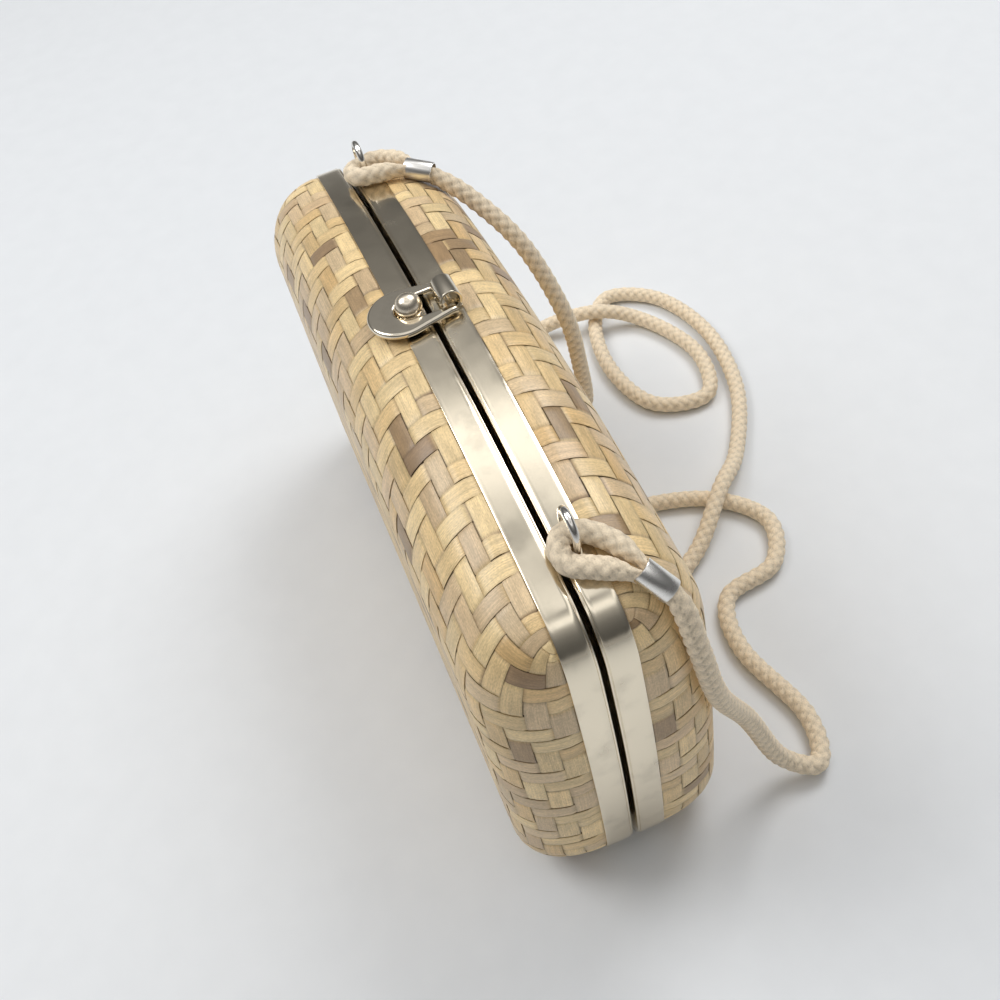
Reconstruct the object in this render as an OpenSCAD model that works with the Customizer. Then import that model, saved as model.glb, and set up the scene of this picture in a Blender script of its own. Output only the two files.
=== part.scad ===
// Hard clamshell box bag: two plaited cane half shells in polished metal frames,
// hinged along the foot, shut by a tongue latch over a ball stud, with a cord strap.
// X runs along the bag, the front half lies on -Y, the rear half on +Y, Z is up.

/* [Body] */
// Length over the bulged ends
bag_l = 200; // [180:1:230]
// Height at the middle of the arched top
bag_h = 118; // [106:1:136]
// Depth of one half, from the parting plane to its outer face
half_depth = 28.5; // [25:0.5:34]
// Fall of the arched top from its middle to the level of the ends
top_fall = 14.3; // [9:0.1:18]
// Bulge of each end, from its middle to the level of the foot
end_bulge = 4.7; // [3:0.1:7]
// Radius of the upper corners
corner_r = 16; // [13:0.5:20]
// Radius of the lower corners
foot_r = 20; // [16:0.5:24]
// Rounding of the top edge, measured down the face
top_round = 26; // [20:1:32]
// Rounding of the two ends, measured along the face
end_round = 17; // [13:1:24]
// Rounding of the foot edge, measured up the face
foot_round = 19; // [14:1:26]
// Thickness of the moulded board under the cane
board_t = 1.8; // [1.2:0.1:2.6]
// Thickness of the glued lining
lining_t = 0.8; // [0.5:0.1:1.5]

/* [Weave] */
// Width of one cane strip
strand_w = 5.3; // [4.8:0.1:7]
// Thickness of the plaited skin between its strips
skin_t = 0.95; // [0.7:0.05:1.3]
// Rise and fall of a strip as it passes over and under
ridge = 0.3; // [0.1:0.05:0.4]

/* [Metal frame] */
// Width of each polished strip
strip_w = 7.3; // [6:0.1:9]
// Thickness of the frame's sheet metal
strip_t = 0.9; // [0.7:0.05:1.1]
// Open gap between the two strips
parting_gap = 1.4; // [1:0.1:2]
// Height of the strip above the cane beside it
strip_proud = 0.35; // [0.2:0.05:0.5]
// Width of the stepped bead along the gap
bead_w = 0.7; // [0.4:0.1:0.8]
// Depth of the stepped bead
bead_d = 0.3; // [0.15:0.05:0.5]
// Width of the channel's inner leg
leg_w = 4.3; // [3:0.1:5]

/* [Hinge] */
// Length of the hinge along the foot
hinge_l = 120; // [90:1:130]
// Radius of the hinge knuckles
knuckle_r = 1.5; // [1.3:0.05:1.6]
// Radius of the hinge pin
pin_r = 0.7; // [0.5:0.05:0.8]
// Thickness of the hinge leaves
leaf_t = 0.6; // [0.4:0.05:0.65]
// Number of knuckles, the outer two on the rear leaf
knuckles = 7; // [3:2:11]

/* [Clasp] */
// Radius of the ball stud
ball_r = 3.2; // [2.8:0.1:3.5]
// Height of the ball's centre above the strip
ball_rise = 3; // [2.7:0.1:3.3]
// Reach of the latch tongue in front of the parting plane
tongue_reach = 15; // [13:0.5:16]
// Radius of the tongue's round tip
tip_r = 8.6; // [7.6:0.2:9.4]
// Width of the tongue at its pivot bar
tail_w = 12.6; // [11.6:0.2:14]
// Thickness of the latch plate and of its pivot bar
plate_t = 1.7; // [1.3:0.1:2]
// Inner radius of the bracket's curl over the pivot bar
curl_r = 2.2; // [2:0.1:2.4]
// Width of the bracket's curl
curl_w = 7.6; // [6.8:0.2:8.4]
// Thickness of the bracket's strap
curl_t = 0.7; // [0.5:0.05:0.9]

/* [Strap] */
// Diameter of the braided cord
cord_d = 5.2; // [4.6:0.1:5.4]
// Distance of each strap eye from the middle
eye_x = 75.5; // [70:0.5:78]
// Distance between the two legs of an eye
eye_w = 8.2; // [8:0.1:9.5]
// Height of an eye above the strip, to the middle of its wire
eye_h = 9.3; // [8.8:0.1:12]
// Diameter of the eye's wire
wire_d = 1.9; // [1.5:0.1:2.1]
// Outer diameter of the crimped ferrules
ferrule_d = 5.8; // [5.6:0.1:6.6]
// Length of the crimped ferrules
ferrule_l = 8.2; // [7:0.2:10]
// Wall of the crimped ferrules
ferrule_t = 0.4; // [0.3:0.05:0.5]

/* [Hidden] */
$fn = 48;

cane = "burlywood";
board = "peru";
satin = "antiquewhite";
gilt = "lightgoldenrodyellow";
nickel = "silver";
cotton = "wheat";

// One overrun for every cut, a running fit and a loose clearance
overrun = 1;
fit = 0.05;
slack = 0.3;

// Outline of the bag in the X-Z plane: arcs for the top, the ends and the corners
top_r = (pow(bag_l / 2, 2) + pow(top_fall, 2)) / (2 * top_fall);
end_r = (pow(bag_h / 2, 2) + pow(end_bulge, 2)) / (2 * end_bulge);
top_c = [0, bag_h - top_r];
end_c = [bag_l / 2 - end_r, bag_h / 2];
corner_c = meeting_point(top_c, top_r - corner_r, end_c, end_r - corner_r);
foot_c = [end_c.x + sqrt(pow(end_r - foot_r, 2) - pow(foot_r - end_c.y, 2)), foot_r];
corner_top_a = direction(corner_c - top_c);
corner_end_a = direction(corner_c - end_c);
corner_mid_a = (corner_top_a + corner_end_a) / 2;
foot_end_a = direction(foot_c - end_c);
foot_mid_a = (foot_end_a - 90) / 2;

// Lengths of the stretches from the middle of each side to the middle of the corners
top_run = arc_length(top_r, 90 - corner_top_a);
top_turn = arc_length(corner_r, corner_top_a - corner_mid_a);
foot_turn = arc_length(foot_r, foot_mid_a + 90);
foot_rise = arc_length(foot_r, foot_end_a - foot_mid_a);
end_run = arc_length(end_r, corner_end_a - foot_end_a);
corner_rise = arc_length(corner_r, corner_mid_a - corner_end_a);

// Layers of a half shell, as depths below the polished strip
skin_out = strip_proud + ridge;
board_out = skin_out + skin_t;
lining_out = board_out + board_t;
lining_in = lining_out + lining_t;
leg_share = 0.7;
leg_out = lining_out + 2 * slack;
leg_in = leg_out + strip_t * leg_share;

// Places across the bag
gap_y = parting_gap / 2;
rim_y = gap_y + strip_w;
strip_mid_y = gap_y + strip_w / 2;
board_rim_y = gap_y + strip_t + fit;
lining_rim_y = gap_y + leg_w + slack / 2;

// The skin wraps over the edges, so its strips are counted along the wrapped lengths
wrap_depth = half_depth - rim_y;
top_edge = quarter_length(top_round, wrap_depth);
end_edge = quarter_length(end_round, wrap_depth);
foot_edge = quarter_length(foot_round, wrap_depth);
wrap_x = bag_l - 2 * end_round + 2 * end_edge;
wrap_z = bag_h - top_round - foot_round + top_edge + foot_edge;
kept_edge = 6;
cols = 2 * floor(wrap_x / (2 * strand_w));
rows = 2 * floor(wrap_z / (2 * strand_w)) + 1;
cols_kept = kept(cols);
rows_kept = kept(rows);
woven_nx = cols - 2;
woven_nz = rows - 2;
ring_marks = concat([for (i = [0 : len(cols_kept) - 2]) max(cols_kept[i] - 1, 0)],
    [for (j = [0 : len(rows_kept) - 2]) woven_nx + max(rows_kept[j] - 1, 0)],
    [for (i = [0 : len(cols_kept) - 2]) woven_nx + woven_nz + max(cols_kept[i] - 1, 0)],
    [for (j = [0 : len(rows_kept) - 2]) 2 * woven_nx + woven_nz + max(rows_kept[j] - 1, 0)]);
outline_steps = [14, 6, 8, 6];

// Hinge along the foot
hinge_z = knuckle_r;
hinge_gap = 2 * knuckle_r + fit * 4;
hinge_notch_l = 2 * (foot_c.x + sqrt(pow(foot_r, 2) - pow(foot_r - hinge_z, 2)));
hinge_notch_z = leg_out;
knuckle_l = hinge_l / knuckles;
leaf_from = knuckle_r + 2 * slack;
leaf_to = rim_y - bead_w;

// Clasp across the top
curl_y = rim_y - curl_t - curl_r + slack;
curl_z = bag_h + curl_t + curl_r;
bar_r = plate_t / 2;
plate_z = bag_h + curl_t + fit;
bar_z = plate_z + bar_r;
ball_hole_r = ball_r + slack * 1.5;
shank_share = 0.45;
shank_r = ball_r * shank_share;
collar_share = 0.7;
collar_r = ball_r * collar_share;
collar_h = curl_t;
plate_bevel = plate_t / 2;
window_w = curl_w + 2 * slack;
window_y = -strip_mid_y + ball_hole_r / 2;
curl_lip_share = 0.3;

// Cord strap: hand-laid route from the far ferrule over the floor to the near one
cord_r = cord_d / 2;
cord_sides = 8;
cord_route = [[-65.1, 16.8, 112.8], [-63.3, 19.1, 112.3], [-56.5, 28.5, 104], [-46, 38.5, 89],
    [-40.5, 45.5, 64], [-43.5, 48.5, 40], [-50, 50, 14], [-60, 45, 4], [-80, 40.5, 2.9], [-102, 50, 3.2],
    [-97, 72, 8.2], [-88, 89, 3.2], [-64, 98, 2.7], [-43, 92, 2.7], [-48, 74, 2.7], [-70, 68, 2.7],
    [-94, 72, 2.7], [-107, 83, 2.7], [-96, 99, 2.7], [-70, 106, 2.7], [-40, 101.5, 2.7], [-14, 87.5, 3.5],
    [1, 74, 8.2], [17, 57, 3.5], [22, 41, 2.7], [-7, 41, 2.7], [-3, 67, 2.7], [14, 82.5, 2.7],
    [31, 76, 2.7], [36, 58, 2.7], [54, 53, 2.7], [80, 58.5, 2.8], [95, 54, 3.4], [92, 44, 10], [92, 35, 37],
    [98, 25, 65], [98.6, 21.2, 87], [95.6, 19.4, 101], [92, 17, 105.9], [90.2, 15.4, 107.7]];
// Each loop leaves its ferrule, goes through the eye, round the leg nearer to the ferrule and back
near_loop = [[89.3, 16.2, 107.7], [85.6, 14.4, 109.4], [81.4, 11.9, 111], [77.8, 8.4, 112.3],
    [75.8, 4.6, 112.9], [76.6, 1.8, 112.8], [79.4, 0.5, 112.1], [82.6, 1.5, 111.3], [84.5, 4.8, 110.8],
    [86.6, 8.6, 110.2], [88.8, 11.6, 109.3], [90.9, 14.4, 107.7]];
far_loop = [[-64.3, 15.9, 112.9], [-65.6, 11.8, 114.1], [-66.8, 8.2, 114.5], [-67.7, 4.6, 114.4],
    [-68.7, 1.8, 114.2], [-71.7, 0.5, 113.8], [-74.8, 1.5, 113.2], [-76, 4.4, 112.9], [-76.9, 8.2, 112.6],
    [-75.4, 12.2, 112.3], [-71.2, 15.6, 112.6], [-66.1, 17.5, 112.9]];
last = len(cord_route) - 1;
squeeze_share = 0.46;
ease = 3;

// Plane geometry
function direction(v) = atan2(v.y, v.x);
function polar(c, r, a) = c + r * [cos(a), sin(a)];
function arc_length(r, a) = r * a * PI / 180;
function quarter_length(a, b) = PI / 2 * sqrt((a * a + b * b) / 2);
function meeting_point(a, ra, b, rb) =
    let (ab = b - a, d2 = ab * ab)
    let (m = (ra * ra - rb * rb + d2) / (2 * d2))
    a + m * ab + sqrt(ra * ra / d2 - m * m) * [ab.y, -ab.x];

// Points on the outline, at depth k below it; t runs from one corner's middle to the other's
function top_at(t, k) =
    let (s = abs(t) * (top_run + top_turn), past = (s - top_run) / top_turn)
    let (p = past <= 0 ? polar(top_c, top_r - k, 90 - s / top_run * (90 - corner_top_a))
        : polar(corner_c, corner_r - k, corner_top_a - past * (corner_top_a - corner_mid_a)))
    [sign(t) * p.x, p.y];
function foot_at(t, k) =
    let (s = abs(t) * (foot_c.x + foot_turn), past = (s - foot_c.x) / foot_turn)
    let (p = past <= 0 ? [s, k] : polar(foot_c, foot_r - k, past * (foot_mid_a + 90) - 90))
    [sign(t) * p.x, p.y];
function end_at(t, k) =
    let (s = t * (foot_rise + end_run + corner_rise), past = s - foot_rise - end_run)
    past >= 0
    ? polar(corner_c, corner_r - k, corner_end_a + past / corner_rise * (corner_mid_a - corner_end_a))
    : s <= foot_rise ? polar(foot_c, foot_r - k, foot_mid_a + s / foot_rise * (foot_end_a - foot_mid_a))
    : polar(end_c, end_r - k, foot_end_a + (s - foot_rise) / end_run * (corner_end_a - foot_end_a));

// Patch over the four sides, from shares of the length and of the height
function plan_at(a, b, k) =
    let (t = 2 * a - 1, right = end_at(b, k), low = foot_at(1, k), high = top_at(1, k))
    let (left = [-right.x, right.y])
    (1 - b) * foot_at(t, k) + b * top_at(t, k) + (1 - a) * left + a * right
    - (1 - b) * [t * low.x, low.y] - b * [t * high.x, high.y];

// A wrapped length becomes a distance from the edge and a share of the full depth
function fold(s, edge, round_l) =
    s >= edge ? [round_l + s - edge, 1] : [round_l * (1 - cos(90 * s / edge)), sin(90 * s / edge)];
function across(u) =
    let (f = fold(min(u, 1 - u) * wrap_x, end_edge, end_round))
    [u <= 0.5 ? f[0] / bag_l : 1 - f[0] / bag_l, f[1]];
function upward(v) =
    let (s = v * wrap_z, low = foot_edge + (bag_h - top_round - foot_round) / 2)
    let (f = s <= low ? fold(s, foot_edge, foot_round) : fold(wrap_z - s, top_edge, top_round))
    [s <= low ? f[0] / bag_h : 1 - f[0] / bag_h, f[1]];
function skin_at(u, v, k) =
    let (a = across(u), b = upward(v), p = plan_at(a[0], b[0], k))
    [p.x, rim_y + (wrap_depth - k) * a[1] * b[1], p.y];

// A strip passes over two crossings and under two, one step on in every row
function lift(i, j) =
    i == 0 || j == 0 || i == cols || j == rows ? 0 : (i + j) % 4 < 2 ? ridge : -ridge;

// The skin leaves out the strips tucked in at the rim, the smooth layers more of those between
function woven(n) = [for (i = [0 : n]) if (i != 1 && i != n - 1) i];
function kept(n) =
    [for (i = [0 : n]) let (near = min(i, n - i))
        if (near % kept_edge == 0 || near > 1 && near < kept_edge) i];

// Grids of points and faces, and the ring of points round a grid
function smooth_grid(k) = [for (j = rows_kept, i = cols_kept) skin_at(i / cols, j / rows, k)];
function woven_grid(k) =
    [for (j = woven(rows), i = woven(cols)) skin_at(i / cols, j / rows, k - lift(i, j))];
function grid_faces(nx, nz, base, outward) =
    [for (j = [0 : nz - 1], i = [0 : nx - 1], half = [0, 1])
        let (a = base + j * (nx + 1) + i, b = a + 1, c = a + nx + 2, d = a + nx + 1,
            rising = (i < nx / 2) == (j < nz / 2),
            f = rising ? (half == 0 ? [a, b, c] : [a, c, d]) : (half == 0 ? [a, b, d] : [b, c, d]))
        outward ? f : [f[0], f[2], f[1]]];
function grid_ring(nx, nz, base) = concat(
    [for (i = [0 : nx - 1]) base + i],
    [for (j = [0 : nz - 1]) base + j * (nx + 1) + nx],
    [for (i = [nx : -1 : 1]) base + nz * (nx + 1) + i],
    [for (j = [nz : -1 : 1]) base + j * (nx + 1)]);
function next(i, ring) = (i + 1) % len(ring);
function band(p, q) =
    [for (i = [0 : len(p) - 1], half = [0, 1])
        half == 0 ? [p[i], q[next(i, q)], p[next(i, p)]] : [p[i], q[i], q[next(i, q)]]];
function stitch(p, q, marks) =
    [for (i = [0 : len(q) - 1])
        let (stop = i == len(q) - 1 ? len(p) : marks[i + 1])
        each concat([for (a = [marks[i] : stop - 1]) [p[a], q[i], p[next(a, p)]]],
            [[p[stop % len(p)], q[i], q[next(i, q)]]])];
function at_depth(points, ring, y) = [for (i = ring) [points[i].x, y, points[i].z]];

// Sweep of a cord: a smooth curve through the route with a ring of points at each step
function curve_at(p, i, f) =
    let (a = p[max(i - 1, 0)], b = p[i], c = p[i + 1], d = p[min(i + 2, len(p) - 1)])
    b + f * (c - a) / 2 + f * f * (a - 2.5 * b + 2 * c - d / 2) + f * f * f * (1.5 * (b - c) + (d - a) / 2);
function curve(p, steps) = concat(
    [for (i = [0 : len(p) - 2], s = [0 : steps - 1]) curve_at(p, i, s / steps)], [p[len(p) - 1]]);
function unit(v) = v / norm(v);
function heading(c, i) = unit(c[min(i + 1, len(c) - 1)] - c[max(i - 1, 0)]);
function cord_ring(c, i, wide) =
    let (t = heading(c, i), s = unit(cross(t, abs(t.z) > 0.9 ? [0, 1, 0] : [0, 0, 1])), n = cross(s, t))
    [for (k = [0 : cord_sides - 1])
        c[i] + cord_r * (wide * cos(360 * k / cord_sides) * s + sin(360 * k / cord_sides) * n)];

// Ring of sheet metal that follows the outline between two depths, from y0 to y1
module outline(k) {
    sides = [for (i = [0 : outline_steps[0]]) polar(top_c, top_r - k,
            90 - i / outline_steps[0] * (90 - corner_top_a)),
        for (i = [1 : outline_steps[1]]) polar(corner_c, corner_r - k,
            corner_top_a - i / outline_steps[1] * (corner_top_a - corner_end_a)),
        for (i = [1 : outline_steps[2]]) polar(end_c, end_r - k,
            corner_end_a - i / outline_steps[2] * (corner_end_a - foot_end_a)),
        for (i = [1 : outline_steps[3]]) polar(foot_c, foot_r - k,
            foot_end_a - i / outline_steps[3] * (foot_end_a + 90))];
    polygon(concat(sides, [for (i = [len(sides) - 1 : -1 : 1]) [-sides[i].x, sides[i].y]]));
}
module outline_ring(k_out, k_in, y0, y1) {
    translate([0, y1, 0]) rotate([90, 0, 0]) linear_extrude(y1 - y0) difference() {
        outline(k_out);
        outline(k_in);
    }
}

// Half shell layers, drawn on the rear side
module woven_skin() {
    points = concat(woven_grid(skin_out), smooth_grid(board_out));
    base = (woven_nx + 1) * (woven_nz + 1);
    nx = len(cols_kept) - 1;
    nz = len(rows_kept) - 1;
    polyhedron(points, concat(grid_faces(nx, nz, base, false), grid_faces(woven_nx, woven_nz, 0, true),
        stitch(grid_ring(woven_nx, woven_nz, 0), grid_ring(nx, nz, base), ring_marks)));
}
module smooth_bowl(k_out, k_in, edge_y) {
    nx = len(cols_kept) - 1;
    nz = len(rows_kept) - 1;
    size = (nx + 1) * (nz + 1);
    outer = smooth_grid(k_out);
    inner = smooth_grid(k_in);
    outer_ring = grid_ring(nx, nz, 0);
    inner_ring = grid_ring(nx, nz, size);
    count = len(outer_ring);
    outer_edge = [for (i = [0 : count - 1]) 2 * size + i];
    inner_edge = [for (i = [0 : count - 1]) 2 * size + count + i];
    polyhedron(concat(outer, inner, at_depth(outer, outer_ring, edge_y),
            at_depth(inner, grid_ring(nx, nz, 0), edge_y)),
        concat(grid_faces(nx, nz, 0, true), grid_faces(nx, nz, size, false),
            band(outer_ring, outer_edge), band(outer_edge, inner_edge), band(inner_edge, inner_ring)));
}

// Channel frame: strip, stepped bead, web at the gap and inner leg, cut back for the hinge
module channel_frame() {
    difference() {
        union() {
            outline_ring(0, strip_t, gap_y + bead_w, rim_y);
            outline_ring(bead_d, leg_in, gap_y, gap_y + strip_t);
            outline_ring(leg_out, leg_in, gap_y, gap_y + leg_w);
        }
        translate([-hinge_notch_l / 2, -overrun, -overrun])
            cube([hinge_notch_l, overrun + hinge_gap, overrun + hinge_notch_z]);
    }
}

// Frame of axes on the strip's arched top at a given distance from the middle
module on_top_strip(x, y) {
    a = asin(x / top_r);
    translate([top_r * sin(a), y, top_c.y + top_r * cos(a)]) rotate([0, a, 0]) children();
}

// Hinge leaf with its knuckles; odd knuckles belong to one leaf and even ones to the other
module hinge_leaf(parity) {
    difference() {
        union() {
            translate([-hinge_l / 2, leaf_from, strip_t + fit])
                cube([hinge_l, leaf_to - leaf_from, leaf_t]);
            for (i = [parity : 2 : knuckles - 1])
                translate([i * knuckle_l - hinge_l / 2 + fit, 0, 0]) knuckle(knuckle_l - 2 * fit);
        }
        translate([-hinge_l, 0, hinge_z]) rotate([0, 90, 0]) cylinder(r = pin_r + fit, h = 2 * hinge_l);
    }
}
module knuckle(l) {
    translate([0, 0, hinge_z]) rotate([0, 90, 0]) cylinder(r = knuckle_r, h = l);
    translate([0, 0, strip_t + fit]) cube([l, leaf_from + fit, leaf_t]);
}

// Wire eye that stands on the strip, its legs set into the sheet
module wire_eye() {
    for (x = [-eye_w / 2, eye_w / 2])
        translate([x, 0, -strip_t]) cylinder(d = wire_d, h = eye_h - eye_w / 2 + strip_t);
    translate([0, 0, eye_h - eye_w / 2]) rotate([90, 0, 0]) rotate_extrude(angle = 180)
        translate([eye_w / 2, 0]) circle(d = wire_d);
}
module eye_holes() {
    for (x = [-eye_w / 2, eye_w / 2])
        translate([x, 0, -strip_t - overrun]) cylinder(d = wire_d + 2 * fit, h = strip_t + 2 * overrun);
}

// Crimped tube between two points of the cord
module ferrule(from, to) {
    d = to - from;
    translate((from + to) / 2) rotate([0, acos(d.z / norm(d)), atan2(d.y, d.x)]) difference() {
        cylinder(d = ferrule_d, h = ferrule_l, center = true);
        cylinder(d = ferrule_d - 2 * ferrule_t, h = ferrule_l + overrun, center = true);
    }
}

// Tube along a curve, squeezed at both ends where two strands share a ferrule
module cord_tube(c, end_share) {
    n = len(c);
    rings = [for (i = [0 : n - 1])
        cord_ring(c, i, min(1, end_share + min(i, n - 1 - i) * (1 - end_share) / ease))];
    turn = [for (k = [0 : cord_sides - 1]) k];
    polyhedron([for (r = rings) each r], concat(
        [[for (k = turn) cord_sides - 1 - k], [for (k = turn) (n - 1) * cord_sides + k]],
        [for (i = [0 : n - 2], k = turn, half = [0, 1])
            let (a = i * cord_sides + k, b = i * cord_sides + (k + 1) % cord_sides)
            half == 0 ? [a, b + cord_sides, a + cord_sides] : [a, b, b + cord_sides]]));
}

module front() { mirror([0, 1, 0]) children(); }

module front_weave() { color(cane) front() woven_skin(); }
module front_board() { color(board) front() smooth_bowl(board_out, lining_out, board_rim_y); }
module front_lining() { color(satin) front() smooth_bowl(lining_out, lining_in, lining_rim_y); }
module front_frame() {
    color(gilt) difference() {
        front() channel_frame();
        translate([0, -strip_mid_y, bag_h - strip_t - overrun])
            cylinder(r = shank_r + fit, h = strip_t + 2 * overrun);
    }
}
module rear_weave() { color(cane) woven_skin(); }
module rear_board() { color(board) smooth_bowl(board_out, lining_out, board_rim_y); }
module rear_lining() { color(satin) smooth_bowl(lining_out, lining_in, lining_rim_y); }
module rear_frame() {
    color(gilt) difference() {
        channel_frame();
        for (x = [-eye_x, eye_x]) on_top_strip(x, strip_mid_y) eye_holes();
    }
}

module hinge_leaf_front() { color(gilt) front() hinge_leaf(1); }
module hinge_leaf_rear() { color(gilt) hinge_leaf(0); }
module hinge_pin() {
    color(nickel) translate([-hinge_l / 2, 0, hinge_z]) rotate([0, 90, 0]) cylinder(r = pin_r, h = hinge_l);
}

// Ball stud riveted through the front strip
module clasp_stud() {
    color(nickel) translate([0, -strip_mid_y, bag_h]) {
        translate([0, 0, ball_rise]) sphere(r = ball_r);
        cylinder(r = collar_r, h = collar_h);
        translate([0, 0, -strip_t]) cylinder(r = shank_r, h = strip_t + collar_h);
    }
}

// Tongue with bevelled edge, one opening for the ball and the curl, and a round pivot bar at its end
module latch_plate() {
    color(nickel) {
        difference() {
            hull() {
                tongue_layer(tip_r, tail_w, plate_t - plate_bevel);
                tongue_layer(tip_r - plate_bevel, tail_w - 2 * plate_bevel, plate_t);
            }
            translate([0, -strip_mid_y, plate_z - overrun])
                cylinder(r = ball_hole_r, h = plate_t + 2 * overrun);
            translate([-window_w / 2, window_y, plate_z - overrun])
                cube([window_w, curl_y + overrun - window_y, plate_t + 2 * overrun]);
        }
        translate([-tail_w / 2, curl_y, bar_z]) rotate([0, 90, 0]) cylinder(r = bar_r, h = tail_w);
    }
}
module tongue_layer(r, w, h) {
    translate([0, tip_r - tongue_reach, plate_z]) cylinder(r = r, h = h);
    translate([-w / 2, curl_y - bar_r, plate_z]) cube([w, bar_r, h]);
}

// Bracket on the rear strip, curled over the plate's pivot bar
module latch_bracket() {
    outer_r = curl_r + curl_t;
    color(nickel) {
        translate([-curl_w / 2, curl_y - outer_r, bag_h]) cube([curl_w, rim_y - curl_y + outer_r, curl_t]);
        translate([-curl_w / 2, curl_y, curl_z]) rotate([0, 90, 0]) difference() {
            cylinder(r = outer_r, h = curl_w);
            translate([0, 0, -overrun]) cylinder(r = curl_r, h = curl_w + 2 * overrun);
            translate([outer_r * curl_lip_share, -2 * outer_r, -overrun])
                cube([outer_r, 2 * outer_r, curl_w + 2 * overrun]);
        }
    }
}

module strap_eye_near() { color(nickel) on_top_strip(eye_x, strip_mid_y) wire_eye(); }
module strap_eye_far() { color(nickel) on_top_strip(-eye_x, strip_mid_y) wire_eye(); }
module ferrule_near() { color(nickel) ferrule(cord_route[last], cord_route[last - 1]); }
module ferrule_far() { color(nickel) ferrule(cord_route[0], cord_route[1]); }
module strap_cord() { color(cotton) cord_tube(curve(cord_route, 2), 1); }
module strap_loop_near() { color(cotton) cord_tube(curve(near_loop, 2), squeeze_share); }
module strap_loop_far() { color(cotton) cord_tube(curve(far_loop, 2), squeeze_share); }

front_weave();
front_board();
front_lining();
front_frame();
rear_weave();
rear_board();
rear_lining();
rear_frame();
hinge_leaf_front();
hinge_leaf_rear();
hinge_pin();
clasp_stud();
latch_plate();
latch_bracket();
strap_eye_near();
strap_eye_far();
ferrule_near();
ferrule_far();
strap_cord();
strap_loop_near();
strap_loop_far();
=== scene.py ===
import math

import bmesh
import bpy
import numpy as np
from mathutils import Matrix, Vector


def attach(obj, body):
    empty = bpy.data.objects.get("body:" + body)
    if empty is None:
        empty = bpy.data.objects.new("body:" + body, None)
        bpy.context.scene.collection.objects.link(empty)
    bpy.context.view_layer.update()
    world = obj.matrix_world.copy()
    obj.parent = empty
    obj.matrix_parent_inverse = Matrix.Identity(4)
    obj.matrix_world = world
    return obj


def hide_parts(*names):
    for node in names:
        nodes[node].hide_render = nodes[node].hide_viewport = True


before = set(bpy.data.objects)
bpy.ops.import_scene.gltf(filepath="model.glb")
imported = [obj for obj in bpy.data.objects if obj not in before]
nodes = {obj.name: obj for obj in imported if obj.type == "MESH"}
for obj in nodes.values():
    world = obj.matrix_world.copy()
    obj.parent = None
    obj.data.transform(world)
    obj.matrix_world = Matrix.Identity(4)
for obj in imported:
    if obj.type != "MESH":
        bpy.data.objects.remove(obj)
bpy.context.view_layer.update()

MM = 0.001

# Angles in degrees above which an edge stays sharp
PLAIN_SHARP = 40
METAL_SHARP = 35
CANE_SHARP = 50
LINING_SHARP = 60
CORD_SHARP = 80

# Sizes of the bag in millimetres, as in the frame
BAG_L = 200
BAG_H = 118
HALF_DEPTH = 28.5
TOP_FALL = 14.3
END_BULGE = 4.7
CORNER_R = 16
FOOT_R = 20
TOP_ROUND = 26
END_ROUND = 17
FOOT_ROUND = 19
LINING_IN = 4.2
LINING_RIM_Y = 5.15
STRIP_W = 7.3
STRIP_T = 0.9
GAP_Y = 0.7
BEAD_W = 0.7
LEG_W = 4.3
LEG_OUT = 4.0
LEG_IN = 4.63
HINGE_GAP = 3.2
HINGE_NOTCH_X = 85.4
COLS = 42
ROWS = 27
RIM_Y = GAP_Y + STRIP_W
STRIP_MID_Y = GAP_Y + STRIP_W / 2
WRAP_DEPTH = HALF_DEPTH - RIM_Y


def direction(v):
    return math.degrees(math.atan2(v[1], v[0]))


def polar(centre, radius, angle):
    angle = np.radians(angle)
    return np.stack([centre[0] + radius * np.cos(angle), centre[1] + radius * np.sin(angle)], axis=-1)


def quarter_length(a, b):
    return math.pi / 2 * math.sqrt((a * a + b * b) / 2)


def meeting_point(a, radius_a, b, radius_b):
    ab = b - a
    d2 = float(ab @ ab)
    m = (radius_a**2 - radius_b**2 + d2) / (2 * d2)
    return a + m * ab + math.sqrt(radius_a**2 / d2 - m * m) * np.array([ab[1], -ab[0]])


# Outline of the bag in the X-Z plane: arcs for the top, the ends and the corners
TOP_R = ((BAG_L / 2) ** 2 + TOP_FALL**2) / (2 * TOP_FALL)
END_R = ((BAG_H / 2) ** 2 + END_BULGE**2) / (2 * END_BULGE)
TOP_C = np.array([0.0, BAG_H - TOP_R])
END_C = np.array([BAG_L / 2 - END_R, BAG_H / 2])
CORNER_C = meeting_point(TOP_C, TOP_R - CORNER_R, END_C, END_R - CORNER_R)
FOOT_C = np.array([END_C[0] + math.sqrt((END_R - FOOT_R) ** 2 - (FOOT_R - END_C[1]) ** 2), FOOT_R])
CORNER_TOP_A = direction(CORNER_C - TOP_C)
CORNER_END_A = direction(CORNER_C - END_C)
CORNER_MID_A = (CORNER_TOP_A + CORNER_END_A) / 2
FOOT_END_A = direction(FOOT_C - END_C)
FOOT_MID_A = (FOOT_END_A - 90) / 2
TOP_RUN = math.radians(90 - CORNER_TOP_A) * TOP_R
TOP_TURN = math.radians(CORNER_TOP_A - CORNER_MID_A) * CORNER_R
FOOT_TURN = math.radians(FOOT_MID_A + 90) * FOOT_R
FOOT_RISE = math.radians(FOOT_END_A - FOOT_MID_A) * FOOT_R
END_RUN = math.radians(CORNER_END_A - FOOT_END_A) * END_R
CORNER_RISE = math.radians(CORNER_MID_A - CORNER_END_A) * CORNER_R
TOP_EDGE = quarter_length(TOP_ROUND, WRAP_DEPTH)
END_EDGE = quarter_length(END_ROUND, WRAP_DEPTH)
FOOT_EDGE = quarter_length(FOOT_ROUND, WRAP_DEPTH)
WRAP_X = BAG_L - 2 * END_ROUND + 2 * END_EDGE
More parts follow.
